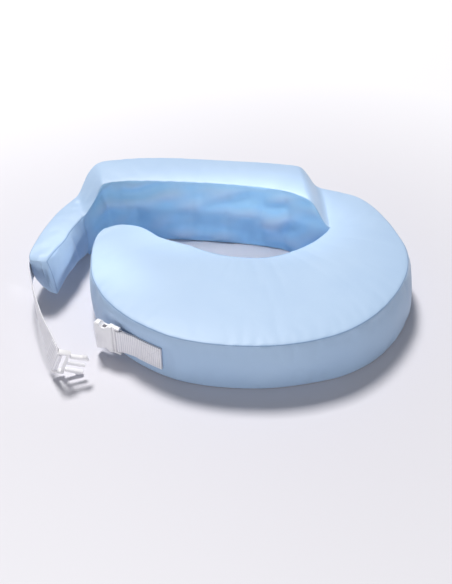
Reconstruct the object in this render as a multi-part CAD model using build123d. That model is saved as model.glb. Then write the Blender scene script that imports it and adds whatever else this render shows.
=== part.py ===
from build123d import *
import math
import os

# A wrap-around nursing pillow. The wide crescent shelf is the fixed body. A taller backrest
# flexes from the shelf at the rear right, and a slim arm flexes from the backrest at the
# rear left. The arm carries a webbing strap with the male half of a side-release buckle,
# and the female half is on a short webbing sewn to the front left of the shelf.
# Millimetres, +Z up. The origin is on the floor under the centre of the whole pillow,
# and the backrest runs along X behind the user's back.

# Driving dimensions
SHELF_HEIGHT = 80.0
BACKREST_HEIGHT = 117.0
RIGHT_SLOPE_RUN = 40.0
LEFT_SLOPE_RUN = 43.0
ARM_TIP_LIFT = 18.0
ARM_LIFT_START_Y = 60.0
COVER = 1.5
EASE = 0.3
FLEX_GAP = 0.4
FLEX_WEDGE = 3.0
REACH = 400.0
CUT_START = 80.0
INSET_STEP = 9.0

WEBBING_WIDTH = 38.0
WEBBING = 1.6
BAR_RADIUS = 2.0
LOOP_INNER = 2.35
SEWN_CLEARANCE = 0.3
LOOP_OUTER = LOOP_INNER + WEBBING

# Zip in the backrest's rear band
ZIP_HEIGHT = 20.0
ZIP_START = -105.0
ZIP_END = 45.0
ZIP_SLIDER_X = 38.0
TAPE = 0.6
COIL = 1.6
COIL_HALF_GAP = 0.6
PULL_LENGTH = 24.0

# Side-release buckle
BUCKLE_WIDTH = 48.0
BUCKLE_THICKNESS = 11.0
RAIL = 3.5
SOCKET_BACK = 8.0
SOCKET_MOUTH = 38.0
SOCKET_HALF_WIDTH = 19.5
SOCKET_HALF_DEPTH = 3.2
LATCH_Z = 16.0
LATCH_ROOT_RADIUS = 2.2
LATCH_HALF_DEPTH = 2.7

# Where the two buckle halves lie: the bar's centre, the way to the mouth or the prong tips,
# and the way along the bar
FEMALE_BAR = (-129.0, -171.5, 34.0)
FEMALE_MOUTH_WAY = (-0.93, 0.366, 0.0)
FEMALE_BAR_WAY = (0.0, 0.0, 1.0)
MALE_BAR = (-205.4, -220.0, 32.5)
MALE_TIP_WAY = (0.912, 0.224, -0.343)
MALE_BAR_WAY = (0.375, -0.14, 0.916)
STRAP_ARRIVAL_WAY = (0.545, -0.765, -0.341)

# Flex lines, each from the outer edge, where the cushion pivots, to the inner edge
RIGHT_NOTCH = (148.0, 202.0)
RIGHT_TIP = (164.0, 78.0)
LEFT_NOTCH = (-262.0, 132.0)
LEFT_CORNER = (-234.0, 72.0)

# Plan outlines of the seams. Each runs with the pillow on its left.
SHELF_EDGE = [
    RIGHT_TIP, (134, 32), (89, -3), (30, -15), (-35, 0), (-105, 28), (-140, 51), (-173, 50),
    (-196, 30), (-199, -25), (-185, -84), (-155, -134), (-105, -179), (-50, -206), (20, -215),
    (90, -210), (150, -192), (206, -160), (243, -120), (271, -72), (285, -30), (290, 14),
    (280, 68), (261, 118), (240, 158), (217, 181), (184, 194), RIGHT_NOTCH,
]
ZIP_EDGE_Y = 214.0
BACKREST_RIGHT = [RIGHT_NOTCH, (100, 209.5), (50, ZIP_EDGE_Y)]
BACKREST_LEFT = [
    (-110, ZIP_EDGE_Y), (-160, 208.5), (-204, 198), (-234, 184), (-252, 160), LEFT_NOTCH,
]
BACKREST_INNER = [
    LEFT_CORNER, (-222, 96), (-206, 117), (-180, 126), (-100, 134), (-10, 134), (60, 129),
    (98, 121), (128, 100), RIGHT_TIP,
]
ARM_EDGE = [
    LEFT_NOTCH, (-280, 86), (-287, 50), (-292, 5), (-293, -25), (-291, -46), (-286, -53),
    (-267, -55), (-261, -48), (-257, -30), (-249, 0), (-246, 25), (-241, 46), LEFT_CORNER,
]
ARM_TIP_Y = -54.0
BACKWARDS = (-1, 0)

# The plan's own zero is in the hollow, and this carries it to the middle of the pillow's box
TO_MIDDLE = Pos(2.0, 4.0, 0.0)

os.makedirs("parts", exist_ok=True)


def save(node, shape):
    """Write one node, moved so that the middle of the pillow's box is over the origin."""
    export_step(TO_MIDDLE * shape, f"parts/{node}.step")


def flex_cut(pivot, inner, turn, side, past=REACH, width=REACH):
    """A tall block on one side of a flex line turned about its pivot, just clear of the line."""
    line = Vector(*inner) - Vector(*pivot)
    angle = math.degrees(math.atan2(line.Y, line.X)) + turn
    length = CUT_START + line.length + past
    block = Box(length, width, REACH, align=(Align.MIN, Align.MIN, Align.CENTER))
    if side < 0:
        block = mirror(block, Plane.XZ)
    return Pos(*pivot) * Rot(0, 0, angle) * Pos(-CUT_START, -side * FLEX_GAP, 0) * block


def slope_cut(outer, inner, run, side, drop):
    """What lies above a sloped end that starts at the flex line and rises over its run."""
    line = Vector(*inner) - Vector(*outer)
    angle = math.degrees(math.atan2(line.Y, line.X))
    low = SHELF_HEIGHT - drop
    high = BACKREST_HEIGHT - drop
    profile = Polyline((-REACH, low), (0, low), (run, high), (run, REACH), (-REACH, REACH), close=True)
    wedge = extrude(Plane.YZ * make_face(profile), amount=REACH, both=True)
    if side < 0:
        wedge = mirror(wedge, Plane.XZ)
    return Pos(*outer) * Rot(0, 0, angle) * wedge


def slab(low, high):
    """Everything between two heights."""
    return Pos(0, 0, (low + high) / 2) * Box(4 * REACH, 4 * REACH, high - low)


def shelf_envelope(drop):
    return slab(drop, SHELF_HEIGHT - drop)


def backrest_envelope(drop):
    block = slab(drop, BACKREST_HEIGHT - drop)
    block -= slope_cut(RIGHT_NOTCH, RIGHT_TIP, RIGHT_SLOPE_RUN, -1, drop)
    return block - slope_cut(LEFT_NOTCH, LEFT_CORNER, LEFT_SLOPE_RUN, 1, drop)


def arm_envelope(drop):
    tip_y = ARM_TIP_Y
    under = Polyline(
        (ARM_LIFT_START_Y, drop), (tip_y, ARM_TIP_LIFT + drop), (tip_y - 20, ARM_TIP_LIFT + drop),
        (tip_y - 20, -REACH), (ARM_LIFT_START_Y, -REACH), close=True,
    )
    return slab(drop, SHELF_HEIGHT - drop) - extrude(Plane.YZ * make_face(under), amount=REACH, both=True)


def inset_edge(edge, distance):
    """The same edge moved to its left by a distance."""
    moved = []
    steps = max(8, round(edge.length / INSET_STEP))
    for step in range(steps + 1):
        place = step / steps
        way = edge % place
        moved.append(edge @ place + Vector(-way.Y, way.X) * distance)
    return Spline(*moved)


def outline_face(chains, distance=0.0):
    """A closed face: each chain of edges, moved inward, then corners that are cut off later."""
    edges = []
    corners = []
    first = None
    for chain, beyond in chains:
        inset = [inset_edge(edge, distance) if distance else edge for edge in chain]
        if corners:
            edges.append(Polyline(*corners, inset[0] @ 0))
        first = first or inset[0] @ 0
        edges += inset
        corners = [inset[-1] @ 1, *beyond]
    edges.append(Polyline(*corners, first))
    return make_face(edges)


def cushion(chains, envelope, cuts):
    """The cover's panels and bands and the foam of one length of the pillow."""

    def column(distance):
        return extrude(outline_face(chains, distance), amount=BACKREST_HEIGHT)

    def trimmed(shape):
        for cut in cuts:
            shape -= cut
        return shape.solids().sort_by(Axis.Z)

    skin = column(0)
    lining = envelope(COVER)
    panels = trimmed((skin & envelope(0)) - lining)
    bands = trimmed((skin & lining) - column(COVER))
    foam = trimmed(column(COVER + EASE) & envelope(COVER + EASE))
    return panels, bands, foam


# Shelf: the wide crescent, its lobe at the left end
shelf_chains = [([Spline(*SHELF_EDGE)], [(112, 206), (128, 84)])]
shelf_cuts = [flex_cut(RIGHT_NOTCH, RIGHT_TIP, 0, -1, past=4, width=80)]
shelf_panels, shelf_bands, shelf_foam = cushion(shelf_chains, shelf_envelope, shelf_cuts)
save("shelf_bottom_panel", shelf_panels[0])
save("shelf_top_panel", shelf_panels[-1])
save("shelf_side_band", shelf_bands[0])
save("shelf_foam", shelf_foam[0])

# Backrest: taller, with a sloped top at both ends and a straight stretch for the zip
backrest_rear = [
    Spline(*BACKREST_RIGHT, tangents=[(-0.97, 0.24), BACKWARDS]),
    Line(BACKREST_RIGHT[-1], BACKREST_LEFT[0]),
    Spline(*BACKREST_LEFT, tangents=[BACKWARDS, (-0.3, -0.95)]),
]
backrest_chains = [
    (backrest_rear, [(-282, 92), (-250, 36)]),
    ([Spline(*BACKREST_INNER)], [(200, 82), (184, 200)]),
]
backrest_cuts = [
    flex_cut(RIGHT_NOTCH, RIGHT_TIP, -FLEX_WEDGE, 1),
    flex_cut(LEFT_NOTCH, LEFT_CORNER, 0, -1),
]
backrest_panels, backrest_bands, backrest_foam = cushion(
    backrest_chains, backrest_envelope, backrest_cuts
)
inner_band, rear_band = sorted(backrest_bands, key=lambda band: band.center().Y)

# The zip's slot in the rear band, and the hollow behind it for the back of the slider
zip_length = ZIP_END - ZIP_START
zip_middle = (ZIP_START + ZIP_END) / 2
tape_half = 7.0
slot = Pos(zip_middle, ZIP_EDGE_Y, ZIP_HEIGHT) * Box(zip_length + 12, 4 * COVER, 2 * tape_half)
hollow = Pos(zip_middle, ZIP_EDGE_Y, ZIP_HEIGHT) * Box(zip_length + 16, 12, 2 * tape_half)
save("backrest_bottom_panel", backrest_panels[0])
save("backrest_top_panel", backrest_panels[-1])
save("backrest_inner_band", inner_band)
save("backrest_rear_band", rear_band - slot)
save("backrest_foam", backrest_foam[0] - hollow)

# Arm: slim, its underside rising to a small end face
arm_chains = [([Spline(*ARM_EDGE)], [(-212, 106), (-244, 164)])]
arm_cuts = [flex_cut(LEFT_NOTCH, LEFT_CORNER, -FLEX_WEDGE, 1)]
arm_panels, arm_bands, arm_foam = cushion(arm_chains, arm_envelope, arm_cuts)
arm_band = arm_bands[0]
arm_end_zone = Pos(-276, ARM_TIP_Y + 6) * Box(
    60, 20, 2 * REACH, align=(Align.CENTER, Align.MAX, Align.CENTER)
)
arm_sides = sorted((arm_band - arm_end_zone).solids(), key=lambda side: side.center().X)
save("arm_bottom_panel", arm_panels[0])
save("arm_top_panel", arm_panels[-1])
save("arm_outer_band", arm_sides[0])
save("arm_inner_band", arm_sides[-1])
save("arm_end_band", (arm_band & arm_end_zone).solids()[0])
save("arm_foam", arm_foam[0])

# Zip: two tapes that fill the slot, two coils that meet at its middle, stops at both ends
tape_width = tape_half - COIL_HALF_GAP - COIL
tape_y = ZIP_EDGE_Y - COVER / 2
for side, name in ((1, "upper"), (-1, "lower")):
    coil_z = ZIP_HEIGHT + side * (COIL_HALF_GAP + COIL / 2)
    tape_z = ZIP_HEIGHT + side * (tape_half - tape_width / 2)
    save(f"zip_coil_{name}", Pos(zip_middle, tape_y, coil_z) * Box(zip_length, COIL, COIL))
    save(f"zip_tape_{name}", Pos(zip_middle, tape_y, tape_z) * Box(zip_length + 12, TAPE, tape_width))

stops = [
    Pos(x, tape_y, ZIP_HEIGHT + side * (COIL_HALF_GAP + COIL / 2)) * Box(3, 2.2, COIL)
    for x in (ZIP_START - 1.5, ZIP_END + 1.5)
    for side in (1, -1)
]
save("zip_stops", Compound(children=stops))

# Slider: plates in front of and behind the coils, a post between them, lugs and a pin
plate_gap = COIL / 2 + 0.35
plate = Box(9, 1.2, 7)
slider = Pos(0, plate_gap + 0.6, 0) * plate + Pos(0, -plate_gap - 0.6, 0) * plate
slider += Pos(3.5, 0, 0) * Box(1.6, 2 * plate_gap + 0.4, 2 * COIL_HALF_GAP - 0.5)
pin_y = plate_gap + 1.2 + 2.0
for side in (1, -1):
    slider += Pos(0, pin_y - 1.3, side * 2.6) * Box(2.4, 3.4, 1.0)
slider += Pos(0, pin_y, 0) * Cylinder(0.6, 5.6)
slider_place = Pos(ZIP_SLIDER_X, tape_y, ZIP_HEIGHT)
save("zip_slider", slider_place * slider)

eye = Cylinder(1.7, 3.2) - Cylinder(0.95, 3.2)
tab = Pos(-PULL_LENGTH / 2 - 1.2, 0, 0) * Box(PULL_LENGTH, 1.2, 3.2)
tab += Pos(-PULL_LENGTH + 1, 0, 0) * Box(10, 1.2, 7)
tab -= Cylinder(0.95, 3.2)
save("zip_pull", slider_place * Pos(0, pin_y, 0) * (eye + tab))


def buckle_plane(bar, tip_way, bar_way):
    """Local X to the mouth or the prong tips, local Z along the bar."""
    return Plane(origin=bar, x_dir=tip_way, z_dir=bar_way)


def bar_loop():
    return Cylinder(LOOP_OUTER, WEBBING_WIDTH) - Cylinder(LOOP_INNER, WEBBING_WIDTH)


def side_rails(low_x, high_x, half_thickness):
    """The two rails of a buckle half, outside the webbing."""
    length = high_x - low_x
    rail = Pos((low_x + high_x) / 2, 0, 0) * Box(length, 2 * half_thickness, BUCKLE_WIDTH)
    return rail - Box(4 * REACH, 4 * REACH, BUCKLE_WIDTH - 2 * RAIL)


# Female half: a bar between two ears, and a flat socket with a scallop in each side
female_plane = buckle_plane(FEMALE_BAR, FEMALE_MOUTH_WAY, FEMALE_BAR_WAY)
socket_length = SOCKET_MOUTH - SOCKET_BACK
socket_middle = (SOCKET_MOUTH + SOCKET_BACK) / 2
shell = Pos(socket_middle, 0, 0) * Box(socket_length, BUCKLE_THICKNESS, BUCKLE_WIDTH)
shell = fillet(shell.edges().filter_by(Axis.Z), 2.5)
shell = chamfer(shell.edges().filter_by(Axis.X), 1.5)
cavity_length = socket_length - 3
shell -= Pos(SOCKET_MOUTH - cavity_length / 2 + 1, 0, 0) * Box(
    cavity_length + 2, 2 * SOCKET_HALF_DEPTH, 2 * SOCKET_HALF_WIDTH
)
for side in (1, -1):
    scallop = Rot(90, 0, 0) * Cylinder(8.5, 2 * BUCKLE_THICKNESS)
    shell -= Pos(SOCKET_BACK + 14, 0, side * (BUCKLE_WIDTH / 2 + 3.5)) * scallop
female = shell + side_rails(-3, SOCKET_BACK + 1, 3.0) + Cylinder(BAR_RADIUS, BUCKLE_WIDTH - 1)
save("female_buckle", female_plane * female)

# Short webbing: folded round the female bar, its two layers sewn flat on the shelf's wall
folded = 2 * WEBBING + 0.2
webbing_ring = outline_face(shelf_chains, -folded - SEWN_CLEARANCE)
webbing_ring -= outline_face(shelf_chains, -SEWN_CLEARANCE)
sewn_end = (-63.0, -205.0)
lift_off = (-104.8, -182.1)
sewn_zone = make_face(Polyline(
    sewn_end, (-50, -180), (-95, -160), lift_off, (-110, -195), (-75, -220), close=True
))
bar_point = FEMALE_BAR[:2]
run = Vector(*bar_point) - Vector(*lift_off)
tail_middle = Vector(*lift_off) + run * 0.5
run_angle = math.degrees(math.atan2(run.Y, run.X))
free_run = Pos(tail_middle.X, tail_middle.Y) * Rot(0, 0, run_angle) * Rectangle(run.length + 1, folded)
sewn_part = (webbing_ring & sewn_zone) + free_run
sewn_part = Pos(0, 0, FEMALE_BAR[2] - WEBBING_WIDTH / 2) * extrude(sewn_part, amount=WEBBING_WIDTH)
short_webbing = sewn_part - Pos(*FEMALE_BAR) * Cylinder(LOOP_INNER, REACH) + Pos(*FEMALE_BAR) * bar_loop()
save("short_webbing", short_webbing)

# Male half: two rails, the bar that holds the strap, a cross bar, and a guide between latches
male_plane = buckle_plane(MALE_BAR, MALE_TIP_WAY, MALE_BAR_WAY)
cross_bar_x = 11.0
latch_root_x = cross_bar_x + LATCH_ROOT_RADIUS + 2.6
frame = side_rails(-3, cross_bar_x + 3, 3.5) + Cylinder(BAR_RADIUS, BUCKLE_WIDTH - 1)
frame = fillet(frame.edges().filter_by(Axis.Z), 1.2)
frame += Pos(cross_bar_x, 0, 0) * Box(4.0, 5.0, BUCKLE_WIDTH - 1)
guide_length = 28.0
frame += Pos(cross_bar_x + guide_length / 2, 0, 0) * Box(guide_length, 3.0, 5.0)
save("male_buckle_frame", male_plane * frame)

# Latch arms: each springs at its root, and a shoulder near its tip catches the scallop
latch_profile = Polyline(
    (0, 2.2), (13, 3.6), (15, 5.4), (20, 4.8), (25, 0.5), (24, -1.6), (0, -2.2), close=True
)
latch_face = fillet(make_face(latch_profile).vertices().sort_by(Axis.X)[2:], 0.8)
for side, name in ((1, "upper"), (-1, "lower")):
    latch = extrude(Plane.XZ * latch_face, amount=LATCH_HALF_DEPTH, both=True)
    latch += Rot(90, 0, 0) * Cylinder(LATCH_ROOT_RADIUS, 2 * LATCH_HALF_DEPTH)
    if side < 0:
        latch = mirror(latch, Plane.XY)
    save(f"latch_arm_{name}", male_plane * Pos(latch_root_x, 0, side * LATCH_Z) * latch)

# Long strap: sewn to the arm's outer face near its end, then hanging and turning to the bar
anchor_ring = outline_face(arm_chains, -WEBBING - SEWN_CLEARANCE)
anchor_ring -= outline_face(arm_chains, -SEWN_CLEARANCE)
anchor_zone = Pos(-300, -26) * Rectangle(24, 42)
strap_height = 50.0
anchor = extrude(anchor_ring & anchor_zone, amount=WEBBING_WIDTH)
save("strap_anchor", Pos(0, 0, strap_height - WEBBING_WIDTH / 2) * anchor)

bar_centre = Vector(*MALE_BAR)
arrival = Vector(*STRAP_ARRIVAL_WAY)
upright = (0, 0, 1)
stations = [
    ((-292.6, -48.4, strap_height), (0.10, -0.99, 0), upright),
    ((-288.0, -63.0, strap_height + 1), (0.36, -0.93, 0), upright),
    ((-272.0, -100.0, 50.0), (0.40, -0.91, -0.03), upright),
    ((-248.5, -150.0, 46.0), (0.46, -0.88, -0.12), (0.13, -0.05, 0.99)),
    ((-226.0, -188.0, 40.0), (0.54, -0.80, -0.26), (0.28, -0.10, 0.95)),
    (bar_centre - arrival * 8, arrival, MALE_BAR_WAY),
    (bar_centre - arrival * (LOOP_INNER + WEBBING / 2), arrival, MALE_BAR_WAY),
]
sections = [
    Plane(origin=place, x_dir=width, z_dir=way) * Rectangle(WEBBING_WIDTH, WEBBING)
    for place, way, width in stations
]
strap = loft(sections)
strap += Plane(origin=bar_centre, x_dir=arrival, z_dir=MALE_BAR_WAY) * bar_loop()
save("long_strap", strap)
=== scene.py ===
import math

import bmesh
import bpy
import numpy as np
from mathutils import Matrix, Vector, noise

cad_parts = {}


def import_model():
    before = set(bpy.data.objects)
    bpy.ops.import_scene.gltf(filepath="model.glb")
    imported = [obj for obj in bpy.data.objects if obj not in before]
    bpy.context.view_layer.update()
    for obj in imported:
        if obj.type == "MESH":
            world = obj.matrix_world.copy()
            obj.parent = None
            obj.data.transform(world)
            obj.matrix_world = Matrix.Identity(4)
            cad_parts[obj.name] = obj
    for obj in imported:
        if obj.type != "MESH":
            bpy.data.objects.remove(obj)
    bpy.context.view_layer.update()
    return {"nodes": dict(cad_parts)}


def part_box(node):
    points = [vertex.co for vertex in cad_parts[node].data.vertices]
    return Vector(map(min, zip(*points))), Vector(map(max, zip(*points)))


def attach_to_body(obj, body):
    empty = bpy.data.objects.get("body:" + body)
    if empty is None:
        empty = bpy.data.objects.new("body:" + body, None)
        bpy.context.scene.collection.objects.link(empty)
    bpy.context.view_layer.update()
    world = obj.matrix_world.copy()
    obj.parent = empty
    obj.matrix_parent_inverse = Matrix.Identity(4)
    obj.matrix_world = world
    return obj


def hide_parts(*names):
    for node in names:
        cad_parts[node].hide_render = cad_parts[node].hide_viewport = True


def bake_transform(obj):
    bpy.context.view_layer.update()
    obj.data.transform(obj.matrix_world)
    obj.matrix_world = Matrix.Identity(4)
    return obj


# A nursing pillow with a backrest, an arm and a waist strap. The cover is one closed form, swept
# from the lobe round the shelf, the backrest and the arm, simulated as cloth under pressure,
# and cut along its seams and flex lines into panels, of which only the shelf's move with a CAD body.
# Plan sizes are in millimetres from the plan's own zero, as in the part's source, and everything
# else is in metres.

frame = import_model()
nodes = frame["nodes"]

MM = 0.001
TO_MIDDLE = np.array([2.0, 4.0])
SHELF_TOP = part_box("shelf_top_panel")[1].z / MM
BACKREST_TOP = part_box("backrest_top_panel")[1].z / MM

# ---------- The swept form ----------

# Each section runs from a point on the outer wall to one on the inner wall.
SECTIONS = [
    # the lobe and the shelf
    (-201, 12, -163, 53), (-201.5, -4, -150, 53), (-199, -26, -136, 50), (-194, -52, -119, 39),
    (-185, -84, -104, 27), (-170, -112, -86, 19), (-152, -137, -68, 13), (-125, -163, -50, 7),
    (-93, -185, -33, -1), (-50, -205, -14, -8), (-5, -214, 8, -13), (45, -215, 30, -15),
    (95, -209, 52, -14), (145, -194, 72, -10), (190, -172, 90, -2), (228, -139, 106, 8),
    (256, -100, 120, 19), (276, -58, 132, 30), (288, -12, 142, 41), (288, 35, 150, 52),
    (276, 80, 156, 61), (259, 122, 160, 68), (238, 158, 162, 73), (213, 183, 163.5, 76),
    (182, 194, 164, 77.5), (148, 202, 164.5, 78),
    # the backrest
    (128, 205.5, 147, 88), (108, 208.5, 127, 101), (85, 211.5, 98, 120), (50, 214, 60, 129),
    (0, 214.5, 0, 134), (-60, 214.5, -60, 135), (-110, 214, -110, 133), (-160, 208.5, -160, 129),
    (-200, 199, -190, 123), (-232, 186, -208, 114), (-252, 162, -219, 100), (-262, 132, -234, 72),
    # the arm
    (-272, 106, -238, 60), (-281, 80, -242, 44), (-287, 50, -246, 24), (-291, 20, -247, 8),
    (-293, -8, -250, -8), (-293.5, -28, -255, -26), (-292.5, -43, -259, -43), (-290, -51, -262, -53),
]
TIP_ROW = 25
RIGHT_TOP_ROW = 27
SPLIT_ROW = 31
LEFT_TOP_ROW = 35
LEFT_ROW = 37
LAST_ROW = len(SECTIONS) - 1
TIP = np.array([164.5, 78.0])
TIP_BLEND_ROWS = 0.6
LEFT_FOOT_ROW = LEFT_ROW + 0.15

# How far the first and the last sections bow out past the lobe and the arm, and which way
LOBE_BOW, LOBE_BOW_WAY = [11.0, 7.0, 4.0, 2.0], (-0.72, 0.69)
ARM_BOW, ARM_BOW_WAY = [3.0, 1.5], (0.05, -1.0)
LOBE_ROUNDING = 1.15
LOBE_CAP_TURN, ARM_CAP_TURN = 0.9, 0.2

# The arm's underside rises off the floor, by place along it
ARM_LIFT_Y = [-54, -40, -15, 10, 35, 55, 75, 95]
ARM_LIFT = [16, 22, 29, 29, 22, 13, 5, 0]

# The walls lean: the shelf's right side and the arm's inner side go out towards the floor
SHELF_LEAN, LEAN_FROM_X, LEAN_OVER_X = 6.0, 120.0, 150.0
ARM_LEAN, ARM_LEAN_ROWS = 10.0, 3.0
# The arm's end is tucked in and up at its lower outer corner, and its top drops a little
END_TUCK, END_LIFT, TUCK_ROWS = 11.0, 8.0, 2.7
END_DROP, DROP_ROWS = 4.0, 2.0
BULGE, BULGE_POWER = 3.0, 0.7
CROWN, CROWN_POWER = 2.0, 0.5
FAR_FROM_SEAM = 60.0

STEP = 6.0
WALL_STEPS = 12
TOP_STEPS = 22
TOP, OUTER, INNER, BOTTOM, END = range(5)
PANELS = 5
SHELF, RIGHT, LEFT = range(3)


def smooth(t):
    t = np.clip(t, 0.0, 1.0)
    return t * t * (3 - 2 * t)


def arch(t, power):
    """0 at both ends and 1 in the middle, flatter on top with a lower power."""
    return (4 * t * (1 - t)) ** power


def catmull(points, t):
    """A smooth curve through the points, read at a list of row numbers."""
    points = np.asarray(points, float)
    ends = np.vstack([2 * points[0] - points[1], points, 2 * points[-1] - points[-2]])
    i = np.clip(np.floor(t).astype(int), 0, len(points) - 2)
    u = (t - i)[:, None]
    a, b, c, d = (ends[i + k] for k in range(4))
    return 0.5 * (2 * b + (c - a) * u + (2 * a - 5 * b + 4 * c - d) * u**2 + (3 * b - a - 3 * c + d) * u**3)


def unit(v):
    return v / np.maximum(np.linalg.norm(v, axis=-1, keepdims=True), 1e-9)


def station_rows():
    """Row numbers of the fine stations, with every section among them."""
    rows = [0.0]
    sections = np.array(SECTIONS, float)
    for i in range(LAST_ROW):
        gap = sections[i + 1] - sections[i]
        length = max(math.hypot(gap[0], gap[1]), math.hypot(gap[2], gap[3]))
        count = max(1, round(length / STEP))
        rows += [i + (k + 1) / count for k in range(count)]
    return np.array(rows)


def spread(count):
    """Shares from 0 to 1, closer together near both ends."""
    even = np.arange(count + 1) / count
    return 0.45 * even + 0.55 * (1 - np.cos(np.pi * even)) / 2


class Cover:
    """The vertices of the swept form, with what the shaders and the folds need to know of each."""

    def __init__(self):
        rows = station_rows()
        sections = np.array(SECTIONS, float)
        self.rows = rows
        outer = catmull(sections[:, :2], rows)
        before = rows <= TIP_ROW
        inner = np.vstack([
            catmull(sections[: TIP_ROW + 1, 2:], rows[before]),
            catmull(sections[TIP_ROW:, 2:], rows[~before] - TIP_ROW),
        ])
        self.count = len(rows)
        across = unit(inner - outer)
        outer_way = unit(np.gradient(outer, axis=0))
        outer_out = np.stack([-outer_way[:, 1], outer_way[:, 0]], 1)
        outer_out *= -np.sign((outer_out * across).sum(1, keepdims=True))
        inner_way = unit(np.gradient(inner, axis=0))
        inner_out = np.stack([-inner_way[:, 1], inner_way[:, 0]], 1)
        inner_out *= np.sign((inner_out * across).sum(1, keepdims=True) + 1e-6)
        near_tip = np.exp(-((rows - TIP_ROW) / TIP_BLEND_ROWS) ** 2)[:, None]
        inner_out = unit(inner_out * (1 - near_tip) + across * near_tip)

        right = smooth((rows - TIP_ROW) / (RIGHT_TOP_ROW - TIP_ROW))
        left = smooth((LEFT_FOOT_ROW - rows) / (LEFT_FOOT_ROW - LEFT_TOP_ROW))
        top = SHELF_TOP + (BACKREST_TOP - SHELF_TOP) * np.minimum(right, left)
        top -= END_DROP * np.clip((rows - LAST_ROW + DROP_ROWS) / DROP_ROWS, 0, 1) ** 2
        lean = SHELF_LEAN * smooth((outer[:, 0] - LEAN_FROM_X) / LEAN_OVER_X) * (rows < TIP_ROW)
        arm_lean = ARM_LEAN * smooth((rows - LEFT_ROW) / ARM_LEAN_ROWS)
        tuck = smooth((rows - (LAST_ROW - TUCK_ROWS)) / TUCK_ROWS)
        bow = np.interp(rows, range(len(LOBE_BOW)), LOBE_BOW) * (rows < len(LOBE_BOW))
        bow_way = np.array([LOBE_BOW_WAY]) * np.ones((self.count, 1))
        arm_rows = rows > LAST_ROW - len(ARM_BOW)
        bow = np.where(arm_rows, np.interp(LAST_ROW - rows, range(len(ARM_BOW)), ARM_BOW), bow)
        bow_way[arm_rows] = ARM_BOW_WAY

        rise = spread(WALL_STEPS)
        share = spread(TOP_STEPS)
        self.ring_size = 2 * (WALL_STEPS + TOP_STEPS)
        outer_run = np.concatenate([[0], np.cumsum(np.linalg.norm(np.diff(outer, axis=0), axis=1))])
        inner_run = np.concatenate([[0], np.cumsum(np.linalg.norm(np.diff(inner, axis=0), axis=1))])
        lobe_chord = np.linalg.norm(inner[0] - outer[0]) * LOBE_ROUNDING

        def lift(place):
            return np.interp(place[:, 1], ARM_LIFT_Y, ARM_LIFT) * (rows > LEFT_ROW)

        # One ring: up the outer wall, over the top, down the inner wall, back under the bottom
        ring = [(outer, outer_out, h, None) for h in rise]
        ring += [(None, None, 1.0, f) for f in share[1:-1]]
        ring += [(inner, inner_out, h, None) for h in rise[::-1]]
        ring += [(None, None, 0.0, f) for f in share[1:-1][::-1]]
        points, plain, run, top_seam, low_seam = [], [], [], [], []
        outer_low = outer + outer_out * (lean - END_TUCK * tuck)[:, None]
        inner_low = inner + inner_out * arm_lean[:, None]
        outer_high, inner_high = outer - outer_out * lean[:, None], inner
        for edge, out, h, f in ring:
            if f is None:
                if edge is outer:
                    tilt = lean * (1 - 2 * h) - END_TUCK * tuck * (1 - h) ** 3
                else:
                    tilt = arm_lean * (1 - h)
                flat = edge + out * tilt[:, None]
                place = flat + out * (BULGE * arch(h, BULGE_POWER))
                low = lift(edge) + (END_LIFT * tuck if edge is outer else 0.0)
                z = low + (top - low) * h
                along = outer_run if edge is outer else -lobe_chord - inner_run
                height = top - low
                from_top, from_low = (1 - h) * height, h * height
            else:
                a, b = (outer_high, inner_high) if h else (outer_low, inner_low)
                place = a + (b - a) * f + bow_way * (bow * 4 * f * (1 - f))[:, None]
                flat = place
                low = (lift(outer) + END_LIFT * tuck) * (1 - f) + lift(inner) * f
                z = top + CROWN * arch(f, CROWN_POWER) if h else low
                width = np.linalg.norm(b - a, axis=1)
                along = np.where(f < 0.5, outer_run, -lobe_chord - inner_run)
                edge_gap = width * min(f, 1 - f)
                from_top = edge_gap if h else edge_gap + FAR_FROM_SEAM
                from_low = edge_gap + FAR_FROM_SEAM if h else edge_gap
            points.append(np.column_stack([place, z]))
            plain.append(np.column_stack([flat, z]))
            run.append(along)
            top_seam.append(from_top)
            low_seam.append(from_low)
        self.points = np.stack(points, 1).reshape(-1, 3)
        self.plain = np.stack(plain, 1).reshape(-1, 3)
        self.outer, self.outer_out = outer, outer_out
        self.run = np.stack(run, 1).ravel()
        self.top_seam = np.stack(top_seam, 1).ravel()
        self.low_seam = np.stack(low_seam, 1).ravel()
        self.faces, self.kinds = [], []
        self._ring_faces()
        self.start_cap = self._cap(0, share, rise, bow_way[0], -1)
        self.end_cap = self._cap(self.count - 1, share, rise, bow_way[-1], 1)

    def at(self, k, m):
        return k * self.ring_size + m % self.ring_size

    def _kind(self, k, panel):
        row = (self.rows[k] + self.rows[min(k + 1, self.count - 1)]) / 2
        part = SHELF if row < TIP_ROW else RIGHT if row < SPLIT_ROW else LEFT
        return part * PANELS + panel

    def _ring_faces(self):
        marks = [WALL_STEPS, WALL_STEPS + TOP_STEPS, 2 * WALL_STEPS + TOP_STEPS, self.ring_size]
        for k in range(self.count - 1):
            for m in range(self.ring_size):
                panel = (OUTER, TOP, INNER, BOTTOM)[sum(m >= mark for mark in marks)]
                here, ahead = (self.at(k, m), self.at(k, m + 1)), (self.at(k + 1, m), self.at(k + 1, m + 1))
                self.faces.append((here[0], ahead[0], ahead[1], here[1]))
                self.kinds.append(self._kind(k, panel))

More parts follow.
